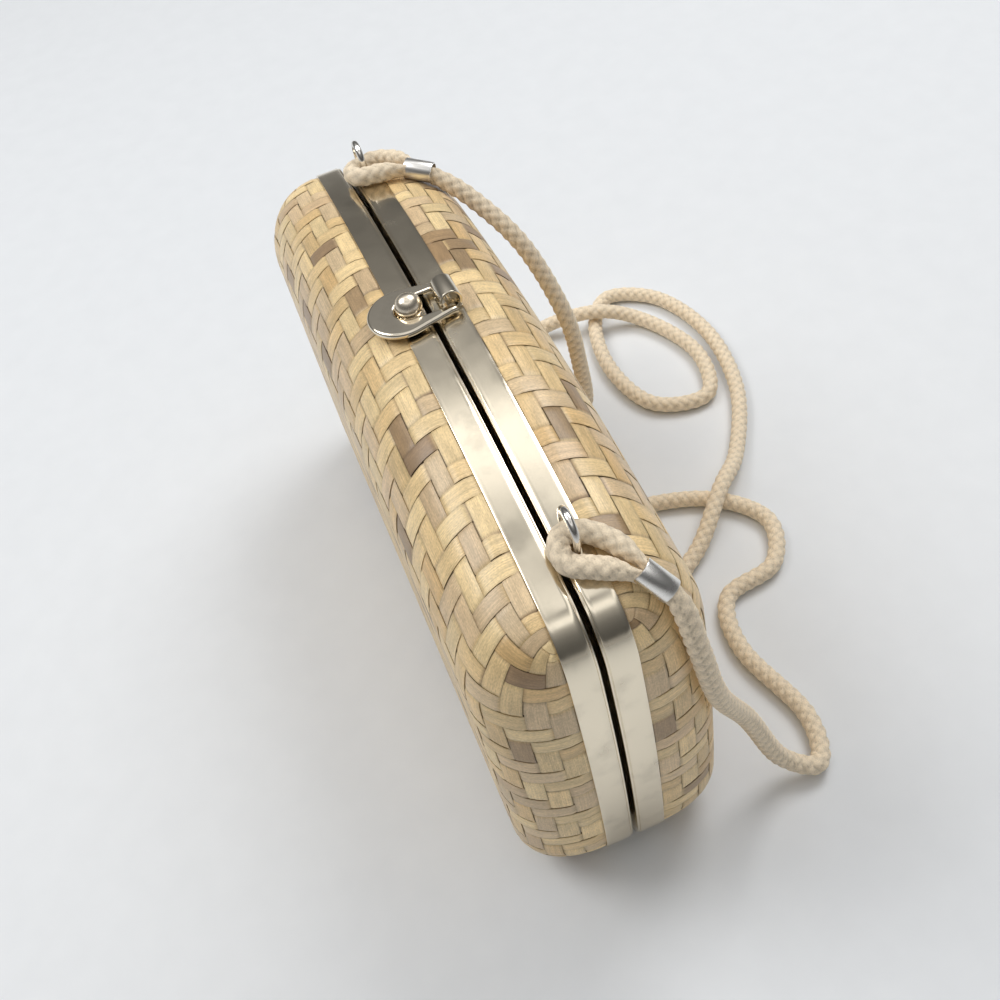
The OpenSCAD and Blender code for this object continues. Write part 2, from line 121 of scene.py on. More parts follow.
WRAP_Z = BAG_H - TOP_ROUND - FOOT_ROUND + TOP_EDGE + FOOT_EDGE


# Points on the outline at depth k below the skin, and the patch that the skin follows
def top_at(t, k):
    s = np.abs(t) * (TOP_RUN + TOP_TURN)
    past = (s - TOP_RUN) / TOP_TURN
    on_top = polar(TOP_C, TOP_R - k, 90 - s / TOP_RUN * (90 - CORNER_TOP_A))
    on_corner = polar(CORNER_C, CORNER_R - k, CORNER_TOP_A - past * (CORNER_TOP_A - CORNER_MID_A))
    p = np.where((past <= 0)[..., None], on_top, on_corner)
    return p * np.stack([np.sign(t), np.ones_like(t)], axis=-1)


def foot_at(t, k):
    s = np.abs(t) * (FOOT_C[0] + FOOT_TURN)
    past = (s - FOOT_C[0]) / FOOT_TURN
    on_foot = np.stack([s, k + 0 * s], axis=-1)
    on_corner = polar(FOOT_C, FOOT_R - k, past * (FOOT_MID_A + 90) - 90)
    p = np.where((past <= 0)[..., None], on_foot, on_corner)
    return p * np.stack([np.sign(t), np.ones_like(t)], axis=-1)


def end_at(t, k):
    s = t * (FOOT_RISE + END_RUN + CORNER_RISE)
    past = s - FOOT_RISE - END_RUN
    corner_a = CORNER_END_A + past / CORNER_RISE * (CORNER_MID_A - CORNER_END_A)
    foot_a = FOOT_MID_A + s / FOOT_RISE * (FOOT_END_A - FOOT_MID_A)
    end_a = FOOT_END_A + (s - FOOT_RISE) / END_RUN * (CORNER_END_A - FOOT_END_A)
    on_corner = polar(CORNER_C, CORNER_R - k, corner_a)
    on_foot = polar(FOOT_C, FOOT_R - k, foot_a)
    on_end = polar(END_C, END_R - k, end_a)
    low = np.where((s <= FOOT_RISE)[..., None], on_foot, on_end)
    return np.where((past >= 0)[..., None], on_corner, low)


def plan_at(a, b, k):
    """Points in the outline's plane at shares of its length and height."""
    t = 2 * a - 1
    ones = np.ones_like(t)
    right = end_at(b, k)
    left = right * np.array([-1, 1])
    low = foot_at(ones, k) * np.stack([t, ones], axis=-1)
    high = top_at(ones, k) * np.stack([t, ones], axis=-1)
    a = a[..., None]
    b = b[..., None]
    return (1 - b) * (foot_at(t, k) - low) + b * (top_at(t, k) - high) + (1 - a) * left + a * right


def fold(s, edge, round_l):
    """Reach and share of the depth at a length along a quarter-round edge and the flat beyond it."""
    angle = np.radians(90 * np.minimum(s, edge) / edge)
    flat = s >= edge
    return np.where(flat, round_l + s - edge, round_l * (1 - np.cos(angle))), np.where(flat, 1, np.sin(angle))


def skin_at(u, v, k):
    """Points of a rear half shell in millimetres, from shares of its wrapped length and height."""
    along, share_x = fold(np.minimum(u, 1 - u) * WRAP_X, END_EDGE, END_ROUND)
    a = np.where(u <= 0.5, along / BAG_L, 1 - along / BAG_L)
    s = v * WRAP_Z
    low = s <= FOOT_EDGE + (BAG_H - TOP_ROUND - FOOT_ROUND) / 2
    rise, share_low = fold(s, FOOT_EDGE, FOOT_ROUND)
    drop, share_high = fold(WRAP_Z - s, TOP_EDGE, TOP_ROUND)
    b = np.where(low, rise / BAG_H, 1 - drop / BAG_H)
    p = plan_at(a, b, k)
    y = RIM_Y + (WRAP_DEPTH - k) * share_x * np.where(low, share_low, share_high)
    return np.stack([p[..., 0], y, p[..., 1]], axis=-1)


# Making of meshes
def piece(name, points, faces, sharp=PLAIN_SHARP):
    mesh = bpy.data.meshes.new(name)
    mesh.from_pydata((np.asarray(points) * MM).tolist(), [], faces)
    mesh.update()
    mesh.shade_smooth()
    mesh.set_sharp_from_angle(angle=math.radians(sharp))
    obj = bpy.data.objects.new(name, mesh)
    bpy.context.scene.collection.objects.link(obj)
    return obj


def grid_faces(count_u, count_v, base=0, flip=False):
    """Quads between count_u rows of count_v points."""
    i, j = np.meshgrid(np.arange(count_u - 1), np.arange(count_v - 1), indexing="ij")
    a = base + i * count_v + j
    quads = np.stack([a, a + count_v, a + count_v + 1, a + 1], axis=-1).reshape(-1, 4)
    return quads[:, ::-1] if flip else quads


def ring_around(side, up, count):
    """Unit directions round each point of a path."""
    theta = np.linspace(0, 2 * math.pi, count, endpoint=False)
    return np.cos(theta)[None, :, None] * side[:, None, :] + np.sin(theta)[None, :, None] * up[:, None, :]


def tube_faces(rings, count):
    """Quads between rings of points, with a cap at each end."""
    i, j = np.meshgrid(np.arange(rings - 1), np.arange(count), indexing="ij")
    n = (j + 1) % count
    quads = np.stack([i * count + j, i * count + n, (i + 1) * count + n, (i + 1) * count + j], axis=-1)
    start = list(range(count))[::-1]
    stop = [(rings - 1) * count + k for k in range(count)]
    return [*quads.reshape(-1, 4).tolist(), start, stop]


# Colour attribute: each part's own colour with painted shade multiplied in
def add_tint_and_shade(mesh, colours):
    layer = mesh.color_attributes.new("tint_and_shade", "FLOAT_COLOR", "POINT")
    rgba = np.concatenate([colours, np.ones((len(colours), 1))], axis=1)
    layer.data.foreach_set("color", rgba.astype(np.float32).ravel())


def add_grain(mesh, coords):
    layer = mesh.uv_layers.new(name="grain")
    corners = np.zeros(len(mesh.loops), np.int32)
    mesh.loops.foreach_get("vertex_index", corners)
    layer.data.foreach_set("uv", coords[corners].astype(np.float32).ravel())


def dress(obj, body, slot, material, *replaced):
    """Gives a piece its material, the body it rides on and the solids it stands for."""
    obj.data.materials.append(material)
    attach(obj, body)
    if replaced:
        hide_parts(*replaced)
    return obj


# Materials
def new_material(name, colour, metallic=0.0, roughness=0.5):
    material = bpy.data.materials.new(name)
    material.use_nodes = True
    shader = material.node_tree.nodes["Principled BSDF"]
    shader.inputs["Base Color"].default_value = (*colour, 1)
    shader.inputs["Metallic"].default_value = metallic
    shader.inputs["Roughness"].default_value = roughness
    return material, shader


def noise(material, source, scale, detail=2.0):
    """Noise texture on the named coordinates, stretched by three scales in 1/m."""
    tree = material.node_tree
    if source == "grain":
        coords = tree.nodes.new("ShaderNodeUVMap")
        coords.uv_map = "grain"
        output = coords.outputs["UV"]
    else:
        coords = tree.nodes.new("ShaderNodeTexCoord")
        output = coords.outputs["Object"]
    mapping = tree.nodes.new("ShaderNodeMapping")
    mapping.inputs["Scale"].default_value = scale
    texture = tree.nodes.new("ShaderNodeTexNoise")
    texture.inputs["Scale"].default_value = 1
    texture.inputs["Detail"].default_value = detail
    tree.links.new(output, mapping.inputs["Vector"])
    tree.links.new(mapping.outputs["Vector"], texture.inputs["Vector"])
    return texture.outputs["Fac"]


def mapped(material, value, low, high, new_low, new_high):
    node = material.node_tree.nodes.new("ShaderNodeMapRange")
    node.inputs["From Min"].default_value = low
    node.inputs["From Max"].default_value = high
    node.inputs["To Min"].default_value = new_low
    node.inputs["To Max"].default_value = new_high
    material.node_tree.links.new(value, node.inputs["Value"])
    return node.outputs["Result"]


def times(material, colour, value):
    node = material.node_tree.nodes.new("ShaderNodeMix")
    node.data_type = "RGBA"
    node.blend_type = "MULTIPLY"
    node.inputs["Factor"].default_value = 1
    material.node_tree.links.new(colour, node.inputs["A"])
    material.node_tree.links.new(value, node.inputs["B"])
    return node.outputs["Result"]


def mixed(material, share, colour, other):
    """Blend of two plain colours by a share from a node."""
    node = material.node_tree.nodes.new("ShaderNodeMix")
    node.data_type = "RGBA"
    node.inputs["A"].default_value = (*colour, 1)
    node.inputs["B"].default_value = (*other, 1)
    material.node_tree.links.new(share, node.inputs["Factor"])
    return node.outputs["Result"]


# Reads the colour attribute that holds own colour and painted shade
def tint_and_shade_of(material):
    node = material.node_tree.nodes.new("ShaderNodeVertexColor")
    node.layer_name = "tint_and_shade"
    return node.outputs["Color"]


def bumped(material, shader, value, distance, strength):
    node = material.node_tree.nodes.new("ShaderNodeBump")
    node.inputs["Distance"].default_value = distance
    node.inputs["Strength"].default_value = strength
    material.node_tree.links.new(value, node.inputs["Height"])
    material.node_tree.links.new(node.outputs["Normal"], shader.inputs["Normal"])


def cane_material():
    """Split cane: long fibres, soft blotches and a fine speckle over each strip's own tint with its painted
    shade.
    """
    material, shader = new_material("cane", (0.62, 0.44, 0.23), 0, 0.42)
    fibres = noise(material, "grain", (40, 3600, 1))
    blotches = noise(material, "grain", (160, 420, 1))
    speckle = noise(material, "grain", (1300, 2600, 1), 3)
    colour = times(material, tint_and_shade_of(material), mapped(material, fibres, 0.3, 0.7, 0.86, 1.1))
    colour = times(material, colour, mapped(material, blotches, 0.3, 0.7, 0.86, 1.1))
    colour = times(material, colour, mapped(material, speckle, 0.3, 0.7, 0.84, 1.12))
    material.node_tree.links.new(colour, shader.inputs["Base Color"])
    shader.inputs["Coat Weight"].default_value = 0.2
    shader.inputs["Coat Roughness"].default_value = 0.25
    bumped(material, shader, fibres, 0.00006, 0.6)
    return material


TARNISH_TONE = 0.5
TARNISH_MOST = 0.35


def metal_material(name, colour, low, high, cloud):
    """Worn polish: roughness between two values in clouds, with a darker tarnish in them."""
    material, shader = new_material(name, colour, 1, low)
    clouds = noise(material, "object", (cloud, cloud, cloud), 4)
    material.node_tree.links.new(mapped(material, clouds, 0.35, 0.7, low, high), shader.inputs["Roughness"])
    dull = [TARNISH_TONE * c for c in colour]
    tarnish = mixed(material, mapped(material, clouds, 0.5, 0.75, 0, TARNISH_MOST), colour, dull)
    material.node_tree.links.new(tarnish, shader.inputs["Base Color"])
    waves = noise(material, "object", (cloud, cloud, cloud), 1)
    bumped(material, shader, waves, 0.0002, 0.08)
    return material


def cord_material():
    material, shader = new_material("cord", (0.72, 0.57, 0.40), 0, 0.92)
    fuzz = noise(material, "object", (2600, 2600, 2600))
    colour = times(material, tint_and_shade_of(material), mapped(material, fuzz, 0.25, 0.75, 0.84, 1.12))
    material.node_tree.links.new(colour, shader.inputs["Base Color"])
    shader.inputs["Sheen Weight"].default_value = 0.15
    bumped(material, shader, fuzz, 0.0002, 0.7)
    return material


def speckled_material(name, colour, other, scale, roughness, relief):
    """Matt stuff with a drawn-out grain between two colours."""
    material, shader = new_material(name, colour, 0, roughness)
    grain = noise(material, "object", scale, 5)
    blend = mixed(material, mapped(material, grain, 0.3, 0.7, 0, 1), colour, other)
    material.node_tree.links.new(blend, shader.inputs["Base Color"])
    bumped(material, shader, grain, relief, 0.5)
    return material, shader


def satin_material():
    light = (0.74, 0.64, 0.49)
    deep = (0.64, 0.54, 0.40)
    material, shader = speckled_material("lining", light, deep, (150, 150, 2400), 0.38, 0.00005)
    shader.inputs["Sheen Weight"].default_value = 0.3
    shader.inputs["Sheen Roughness"].default_value = 0.3
    return material


CANE = cane_material()
GILT = metal_material("frame_metal", (0.86, 0.77, 0.61), 0.09, 0.28, 110)
NICKEL = metal_material("fitting_metal", (0.82, 0.79, 0.74), 0.07, 0.18, 160)
CLASP = metal_material("clasp_metal", (0.86, 0.78, 0.64), 0.07, 0.18, 160)
BALL = metal_material("ball_metal", (0.90, 0.80, 0.65), 0.24, 0.34, 160)
SLEEVE = metal_material("sleeve_metal", (0.88, 0.86, 0.82), 0.24, 0.34, 160)
CORD = cord_material()
# The board under the cane is a real part; its brown is made very dark so that the gaps between the strips
# show painted shade
BOARD_SHADE_BROWN = (0.13, 0.085, 0.05)
BOARD_SHADE_DARK = (0.07, 0.045, 0.028)
BOARD_GAP_SHADE = speckled_material("board", BOARD_SHADE_BROWN, BOARD_SHADE_DARK, (260, 260, 900), 0.85, 0.0002)[0]
SATIN = satin_material()


# Camera at the photograph's place and angle
CAMERA_PLACE = Vector((0.22770, -0.03311, 0.30713))
CAMERA_YAW = math.radians(9.458)
CAMERA_PITCH = math.radians(48.933)
CAMERA_ROLL = math.radians(-15.195)
CAMERA_LENS = 43.64
SENSOR_W = 36
CLIP_NEAR = 0.01
CLIP_FAR = 20


def make_camera():
    cos_pitch = math.cos(CAMERA_PITCH)
    ahead = Vector((
        -math.cos(CAMERA_YAW) * cos_pitch,
        math.sin(CAMERA_YAW) * cos_pitch,
        -math.sin(CAMERA_PITCH),
    ))
    level = ahead.cross(Vector((0, 0, 1))).normalized()
    rise = level.cross(ahead)
    right = math.cos(CAMERA_ROLL) * level + math.sin(CAMERA_ROLL) * rise
    up = math.cos(CAMERA_ROLL) * rise - math.sin(CAMERA_ROLL) * level
    turn = Matrix((right, up, -ahead)).transposed().to_4x4()
    data = bpy.data.cameras.new("camera")
    data.lens = CAMERA_LENS
    data.sensor_width = SENSOR_W
    data.clip_start = CLIP_NEAR
    data.clip_end = CLIP_FAR
    camera = bpy.data.objects.new("camera", data)
    camera.matrix_world = Matrix.Translation(CAMERA_PLACE) @ turn
    bpy.context.scene.collection.objects.link(camera)
    bpy.context.scene.camera = camera


make_camera()

# Braided cord strap
CORD_D = 5.2
CORD_SIDES = 32
CORD_STEP = 0.55
BRAID_STRANDS = 4
BRAID_PITCH = 3.3
STRAND_ROUND = 0.7
STRAND_DIP = 0.45
GROOVE_SHARE = 0.81
STRAND_SHARE = 0.23
STRAND_FULL = 0.8
# Painted shade: colour share left in the grooves between strands, and how much lighter the strand crowns are
GROOVE_SHADE = 0.5
STRAND_SHADE_LIFT = 0.52
GROOVE_NARROW = 0.4
CORD_COLOUR = np.array([0.96, 0.81, 0.60])
STRAP_HELD = 5.6
STRAP_SQUEEZE = 0.88
LOOP_HELD = 2.6
LOOP_WIDE = 0.42
LOOP_HIGH = 0.78
CORD_ROUTE = [
    (-65.1, 16.8, 112.8), (-63.3, 19.1, 112.3), (-56.5, 28.5, 104), (-46, 38.5, 89), (-40.5, 45.5, 64),
    (-43.5, 48.5, 40), (-50, 50, 14), (-60, 45, 4), (-80, 40.5, 2.9), (-102, 50, 3.2), (-97, 72, 8.2),
    (-88, 89, 3.2), (-64, 98, 2.7), (-43, 92, 2.7), (-48, 74, 2.7), (-70, 68, 2.7), (-94, 72, 2.7),
    (-107, 83, 2.7), (-96, 99, 2.7), (-70, 106, 2.7), (-40, 101.5, 2.7), (-14, 87.5, 3.5), (1, 74, 8.2),
    (17, 57, 3.5), (22, 41, 2.7), (-7, 41, 2.7), (-3, 67, 2.7), (14, 82.5, 2.7), (31, 76, 2.7), (36, 58, 2.7),
    (54, 53, 2.7), (80, 58.5, 2.8), (95, 54, 3.4), (92, 44, 10), (92, 35, 37), (98, 25, 65), (98.6, 21.2, 87),
    (95.6, 19.4, 101), (92, 17, 105.9), (90.2, 15.4, 107.7),
]
NEAR_LOOP = [
    (89.3, 16.2, 107.7), (85.6, 14.4, 109.4), (81.4, 11.9, 111), (77.8, 8.4, 112.3), (75.8, 4.6, 112.9),
    (76.6, 1.8, 112.8), (79.4, 0.5, 112.1), (82.6, 1.5, 111.3), (84.5, 4.8, 110.8), (86.6, 8.6, 110.2),
    (88.8, 11.6, 109.3), (90.9, 14.4, 107.7),
]
FAR_LOOP = [
    (-64.3, 15.9, 112.9), (-65.6, 11.8, 114.1), (-66.8, 8.2, 114.5), (-67.7, 4.6, 114.4), (-68.7, 1.8, 114.2),
    (-71.7, 0.5, 113.8), (-74.8, 1.5, 113.2), (-76, 4.4, 112.9), (-76.9, 8.2, 112.6), (-75.4, 12.2, 112.3),
    (-71.2, 15.6, 112.6), (-66.1, 17.5, 112.9),
]


def smooth_route(route, steps=12):
    """Smooth curve through the points of a route."""
    p = np.array(route, float)
    ends = len(p) - 1
    out = []
    for i in range(ends):
        a, b, c, d = p[max(i - 1, 0)], p[i], p[i + 1], p[min(i + 2, ends)]
        for f in np.arange(steps) / steps:
            bend = f * f * (a - 2.5 * b + 2 * c - d / 2) + f**3 * (1.5 * (b - c) + (d - a) / 2)
            out.append(b + f * (c - a) / 2 + bend)
    out.append(p[-1])
    return np.array(out)


def evenly(path, step):
    """The path again in even steps, and the length run at each point."""
    run = np.concatenate([[0], np.cumsum(np.linalg.norm(np.diff(path, axis=0), axis=1))])
    places = np.linspace(0, run[-1], int(run[-1] / step) + 1)
    return np.stack([np.interp(places, run, path[:, i]) for i in range(3)], axis=1), places


def carried_frames(path):
    """Tangent and two normals at each point, turned as little as possible along the path."""
    tangents = np.gradient(path, axis=0)
    tangents /= np.linalg.norm(tangents, axis=1)[:, None]
    upright = abs(tangents[0][2]) > 0.9
    normal = np.cross(tangents[0], (0, 1, 0) if upright else (0, 0, 1))
    normals = []
    for t in tangents:
        normal = normal - (normal @ t) * t
        normal = normal / np.linalg.norm(normal)
        normals.append(normal)
    normals = np.array(normals)
    return tangents, normals, np.cross(tangents, normals)


def braided_cord(name, route, held, wide, high):
    """Tube with plaited strands; its ends are narrowed to these shares over the length a ferrule holds."""
    path, run = evenly(smooth_route(route), CORD_STEP)
    tangents, side, up = carried_frames(path)
    turn = BRAID_STRANDS * np.arange(CORD_SIDES)[None, :] / CORD_SIDES
    a = turn + run[:, None] / BRAID_PITCH
    c = turn - run[:, None] / BRAID_PITCH
    over = (np.floor(a) + np.floor(c)) % 2 == 0
    across = np.where(over, a % 1, c % 1)
    along = np.where(over, c % 1, a % 1)
    swell = np.sin(math.pi * across) ** STRAND_ROUND
    swell = swell * (1 - STRAND_DIP + STRAND_DIP * np.sin(math.pi * along))
    radius = CORD_D / 2 * (GROOVE_SHARE + STRAND_SHARE * swell**STRAND_FULL)
    spread = radius[..., None] * ring_around(side, up, CORD_SIDES)
    level = np.cross(tangents, (0, 0, 1))
    level /= np.linalg.norm(level, axis=1)[:, None]
    free = np.clip((np.minimum(run, run[-1] - run) - held) / CORD_D, 0, 1)
    wide_share = wide + (1 - wide) * free
    high_share = high + (1 - high) * free
    reach = (spread * level[:, None, :]).sum(-1)[..., None] * level[:, None, :]
    spread = reach * wide_share[:, None, None] + (spread - reach) * high_share[:, None, None]
    points = (path[:, None, :] + spread).reshape(-1, 3)
    obj = piece(name, points, tube_faces(len(path), CORD_SIDES), CORD_SHARP)
    # Painted shade in the grooves between the braid's strands
    shade = GROOVE_SHADE + STRAND_SHADE_LIFT * swell.reshape(-1, 1) ** GROOVE_NARROW
    add_tint_and_shade(obj.data, shade * CORD_COLOUR)
    return obj, path


strap, strap_path = braided_cord("strap_braid", CORD_ROUTE, STRAP_HELD, STRAP_SQUEEZE, STRAP_SQUEEZE)
dress(strap, "rear", "cord", CORD, "strap_cord")
near_loop, near_path = braided_cord("strap_loop_near_braid", NEAR_LOOP, LOOP_HELD, LOOP_WIDE, LOOP_HIGH)
dress(near_loop, "rear", "cord", CORD, "strap_loop_near")
far_loop, far_path = braided_cord("strap_loop_far_braid", FAR_LOOP, LOOP_HELD, LOOP_WIDE, LOOP_HIGH)
dress(far_loop, "rear", "cord", CORD, "strap_loop_far")

# Plaited skins of single cane strips, each over two and under two
STEPS_PER_CELL = 6
STRIP_THICK = 0.3
OVER_DEPTH = 0.4
UNDER_DEPTH = 0.86
RIM_DEPTH = 0.74
TUCK_DEPTH = 0.98
TUCK_CELLS = 0.22
BEND_START = 0.28
BEND_SHARE = 0.44
WIDTH_LOW = 0.93
WIDTH_HIGH = 0.985
WAVER = 0.018
WAVER_SLOWEST = 0.2
WAVER_FASTEST = 0.5
WAVER_START = 6
RIM_RISE = 0.5
FRONT_SEED = 11
REAR_SEED = 23
# Painted shade: share of a strip's colour left where it sinks under the crossing strips
SUNK_SHADE = 0.66
GRAIN_SHIFT = 7.3
UPRIGHT_SHIFT = 400
LENGTH_SHIFTS = 3
CROSS_PLACES = np.array([-1, -1, -0.8, 0, 0.8, 1, 1])
CROSS_DEPTHS = np.array([STRIP_THICK, 0.05, 0.008, 0, 0.008, 0.05, STRIP_THICK])
# Painted shade: darkening across each strip, from full colour in its middle to dark lines at its edges
EDGE_SHADES = np.array([0.22, 0.8, 1, 1, 1, 0.8, 0.22])
STRAW = np.array([0.93, 0.71, 0.38])
HONEY = np.array([0.76, 0.50, 0.22])
ROSE = np.array([0.71, 0.53, 0.34])
UMBER = np.array([0.28, 0.17, 0.09])
STRIP_SPREAD = 0.6
FLOAT_SPREAD = 0.22
ROSY_SHARE = 0.3
ROSY_BLEND = 0.65
DARK_SHARE = 0.09
DARK_BLEND = 0.8
TONE_LOW = 0.86
TONE_HIGH = 1.08


def float_colours(rng, strips, floats):
    """One colour for each float of each strip: straw to honey, some rosy and a few dark."""
    shape = (strips, floats, 1)
    mix = rng.uniform(0, STRIP_SPREAD, (strips, 1, 1)) + rng.normal(0, FLOAT_SPREAD, shape)
    mix = np.clip(mix, 0, 1)
    colours = (1 - mix) * STRAW + mix * HONEY
    rosy = (1 - ROSY_BLEND) * colours + ROSY_BLEND * ROSE
    colours = np.where(rng.uniform(0, 1, shape) < ROSY_SHARE, rosy, colours)
    dark = (1 - DARK_BLEND) * colours + DARK_BLEND * UMBER
    colours = np.where(rng.uniform(0, 1, shape) < DARK_SHARE, dark, colours)
    return colours * rng.uniform(TONE_LOW, TONE_HIGH, shape)


def cane_strip(index, upright, rng, colours):
    """One strip: its points in the rear half, its colours with painted shade, and its grain."""
    cells = ROWS if upright else COLS
    inner = np.arange(cells * STEPS_PER_CELL + 1) / STEPS_PER_CELL
    t = np.concatenate([[-TUCK_CELLS], inner, [cells + TUCK_CELLS]])
    crossing = np.arange(-1, cells + 1)
    over = ((index + crossing) % 4 < 2) == upright
    before = np.floor(t - 0.5)
    base = np.clip(before.astype(int), -1, cells - 1) + 1
    share = np.clip((t - 0.5 - before - BEND_START) / BEND_SHARE, 0, 1)
    share = share * share * (3 - 2 * share)
    lift = np.where(over[base], 1.0, 0.0) * (1 - share) + np.where(over[base + 1], 1.0, 0.0) * share
    depth = UNDER_DEPTH + (OVER_DEPTH - UNDER_DEPTH) * lift
    from_end = np.minimum(t, cells - t)
    rim = RIM_DEPTH - RIM_RISE * np.maximum(from_end, 0)
    depth = np.where(from_end < 0.5, np.maximum(depth, rim), depth)
    depth = np.where(from_end < 0, TUCK_DEPTH, depth)
    half = 0.5 * rng.uniform(WIDTH_LOW, WIDTH_HIGH)
    rate = rng.uniform(WAVER_SLOWEST, WAVER_FASTEST)
    waver = WAVER * np.sin(t * rate + rng.uniform(0, WAVER_START))
    middle = index + 0.5 + waver
    q = middle[:, None] + half * CROSS_PLACES[None, :]
    k = depth[:, None] + CROSS_DEPTHS[None, :]
    length = np.broadcast_to(t[:, None], q.shape)
    if upright:
        points = skin_at(q / COLS, length / ROWS, k)
    else:
        points = skin_at(length / COLS, q / ROWS, k)
    cell = np.clip(np.floor(t).astype(int), 0, cells - 1)
    # Painted shade: each float's colour darkened where the strip sinks under, then along its edges
    shaded_tone = colours[index, (index + cell) // 2] * (SUNK_SHADE + (1 - SUNK_SHADE) * lift)[:, None]
    shaded_tone = shaded_tone[:, None, :] * EDGE_SHADES[None, :, None]
    pitch = WRAP_Z / ROWS if upright else WRAP_X / COLS
    offset = index * GRAIN_SHIFT + (UPRIGHT_SHIFT if upright else 0)
    grain = np.stack([length * pitch + offset * LENGTH_SHIFTS, (q - index) * pitch + offset], axis=-1) * MM
    return points, shaded_tone, grain


def plaited_skin(name, side, seed):
    """All strips of one half as one piece, mirrored to its side."""
    rng = np.random.default_rng(seed)
    floats = (COLS + ROWS) // 2 + 1
    points, shaded_tones, grains, faces = [], [], [], []
    base = 0
    for upright, strips in ((True, COLS), (False, ROWS)):
        colours = float_colours(rng, strips, floats)
        for index in range(strips):
            p, shaded_tone, grain = cane_strip(index, upright, rng, colours)
            faces.append(grid_faces(p.shape[0], p.shape[1], base, upright == (side > 0)))
            points.append(p.reshape(-1, 3) * np.array([1, side, 1]))
            shaded_tones.append(shaded_tone.reshape(-1, 3))
            grains.append(grain.reshape(-1, 2))
            base += p.shape[0] * p.shape[1]
    obj = piece(name, np.concatenate(points), np.concatenate(faces).tolist(), CANE_SHARP)
    add_tint_and_shade(obj.data, np.concatenate(shaded_tones))
    add_grain(obj.data, np.concatenate(grains))
    return obj


dress(plaited_skin("front_plait", -1, FRONT_SEED), "front", "cane", CANE, "front_weave")
dress(plaited_skin("rear_plait", 1, REAR_SEED), "rear", "cane", CANE, "rear_weave")

# Smooth satin lining glued inside each half
LINING_COLS = 85
LINING_ROWS = 61


def satin_bowl(name, side):
    u = np.linspace(0, 1, LINING_COLS)
    v = np.linspace(0, 1, LINING_ROWS)
    uu, vv = np.meshgrid(u, v, indexing="ij")
    points = skin_at(uu, vv, np.full_like(uu, LINING_IN))
    edged = np.pad(points, ((1, 1), (1, 1), (0, 0)), mode="edge")
    edged[0, :, 1] = edged[-1, :, 1] = LINING_RIM_Y
    edged[:, 0, 1] = edged[:, -1, 1] = LINING_RIM_Y
    faces = grid_faces(edged.shape[0], edged.shape[1], 0, side < 0)
    return piece(name, edged.reshape(-1, 3) * np.array([1, side, 1]), faces.tolist(), LINING_SHARP)


dress(satin_bowl("front_satin", -1), "front", "lining", SATIN, "front_lining")
dress(satin_bowl("rear_satin", 1), "rear", "lining", SATIN, "rear_lining")

# Polished channel frames, swept round the outline with their stepped bead
EDGE_R = 0.26
EDGE_MID_SHARE = 0.3
FLAT_IN = 1.2
BEAD_STEP = [(0.15, 0), (0, 0.1), (-0.02, 0.42), (-0.12, 0.44), (-0.2, 0.34)]
BEAD_LIP = [(0.26, 0.3), (0.08, 0.36), (0, 0.5)]
FRAME_PROFILE = [
    (RIM_Y, STRIP_T), (RIM_Y, EDGE_R), (RIM_Y - EDGE_MID_SHARE * EDGE_R, EDGE_MID_SHARE * EDGE_R),
    (RIM_Y - EDGE_R, 0), (RIM_Y - FLAT_IN, 0), (STRIP_MID_Y, 0), (GAP_Y + BEAD_W + FLAT_IN, 0),
    *[(GAP_Y + BEAD_W + y, depth) for y, depth in BEAD_STEP],
    *[(GAP_Y + y, depth) for y, depth in BEAD_LIP],
    (GAP_Y, LEG_IN), (GAP_Y + LEG_W, LEG_IN), (GAP_Y + LEG_W, LEG_OUT), (GAP_Y + STRIP_T, LEG_OUT),
    (GAP_Y + STRIP_T, STRIP_T),
]
TOP_STEPS = 60
CORNER_STEPS = 28
END_STEPS = 44
FOOT_TURN_STEPS = 34
FOOT_STEPS = 40


def outline_stations():
    """Points of the closed outline, from the middle of the top round to it again, with outward normals."""
    arcs = [
        (TOP_C, TOP_R, np.linspace(90, CORNER_TOP_A, TOP_STEPS)),
        (CORNER_C, CORNER_R, np.linspace(CORNER_TOP_A, CORNER_END_A, CORNER_STEPS)[1:]),
        (END_C, END_R, np.linspace(CORNER_END_A, FOOT_END_A, END_STEPS)[1:]),
        (FOOT_C, FOOT_R, np.linspace(FOOT_END_A, -90, FOOT_TURN_STEPS)[1:]),
    ]
    places = np.concatenate([polar(c, r, a) for c, r, a in arcs])
    normals = np.concatenate([polar((0, 0), 1, a) for c, r, a in arcs])
    foot_x = np.linspace(FOOT_C[0], 0, FOOT_STEPS)[1:]
    places = np.concatenate([places, np.stack([foot_x, 0 * foot_x], axis=1)])
    normals = np.concatenate([normals, np.tile([0, -1], (len(foot_x), 1))])
    flip = np.array([-1, 1])
    return (
        np.concatenate([places, places[-2:0:-1] * flip]),
        np.concatenate([normals, normals[-2:0:-1] * flip]),
    )


def channel_frame(name, side):
    """Profile swept round the outline, cut back along the foot where the hinge lies."""
    places, normals = outline_stations()
    profile = np.array(FRAME_PROFILE)
    plan = places[:, None, :] - profile[None, :, 1, None] * normals[:, None, :]
    y = np.broadcast_to(profile[None, :, 0], plan.shape[:2]).copy()
    notch = (np.abs(plan[..., 0]) < HINGE_NOTCH_X) & (plan[..., 1] < LEG_OUT)
    y[notch] = np.maximum(y[notch], HINGE_GAP)
    points = np.stack([plan[..., 0], side * y, plan[..., 1]], axis=-1)
    n, m = points.shape[:2]
    i, j = np.meshgrid(np.arange(n), np.arange(m), indexing="ij")
    ni, nj = (i + 1) % n, (j + 1) % m
    quads = np.stack([i * m + j, i * m + nj, ni * m + nj, ni * m + j], axis=-1).reshape(-1, 4)
    if side < 0:
        quads = quads[:, ::-1]
    return piece(name, points.reshape(-1, 3), quads.tolist(), METAL_SHARP)


dress(channel_frame("front_channel", -1), "front", "frame_metal", GILT, "front_frame")
dress(channel_frame("rear_channel", 1), "rear", "frame_metal", GILT, "rear_frame")

